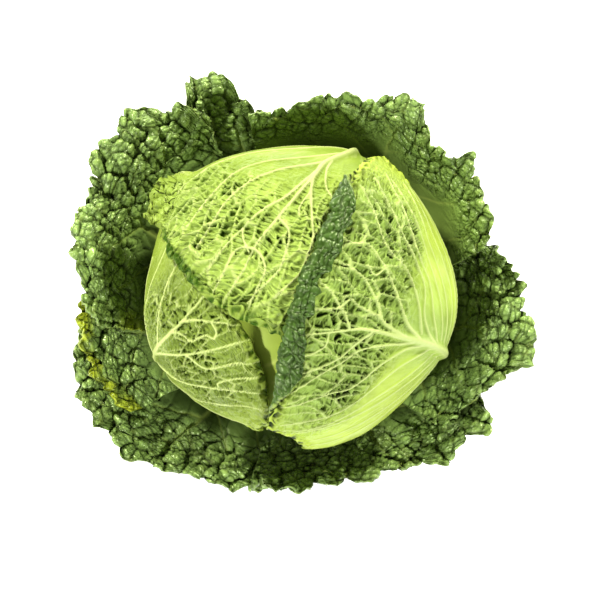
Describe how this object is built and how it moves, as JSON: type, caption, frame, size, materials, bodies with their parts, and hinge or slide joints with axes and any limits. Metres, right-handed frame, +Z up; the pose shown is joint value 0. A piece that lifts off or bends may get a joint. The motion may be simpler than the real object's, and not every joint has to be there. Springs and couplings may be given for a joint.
{
  "type": "savoy cabbage",
  "caption": "Round crinkled cabbage head closed by wrapper leaves, in a nest of open dark outer leaves, standing on its cut stalk.",
  "frame": {"origin": "centre of the stalk's cut face, on the surface the cabbage stands on", "axes": "+Z up through the head, +X towards the widest outer leaf, so X is the longest extent"},
  "size_m": [0.2629, 0.2414, 0.1751],
  "materials": {
    "cut_stalk": "matt, moist cut",
    "heart_leaf": "waxy satin",
    "wrapper_leaf": "waxy satin",
    "outer_leaf": "waxy satin, blistered"
  },
  "bodies": {
    "root": {"stalk": "cut_stalk", "heart": "heart_leaf", "wrapper_leaf_1": "wrapper_leaf", "wrapper_leaf_2": "wrapper_leaf", "wrapper_leaf_3": "wrapper_leaf", "outer_leaf_1": "outer_leaf", "outer_leaf_2": "outer_leaf", "outer_leaf_3": "outer_leaf", "outer_leaf_4": "outer_leaf", "outer_leaf_5": "outer_leaf", "outer_leaf_6": "outer_leaf", "outer_leaf_7": "outer_leaf", "outer_leaf_8": "outer_leaf"}
  },
  "joints": []
}
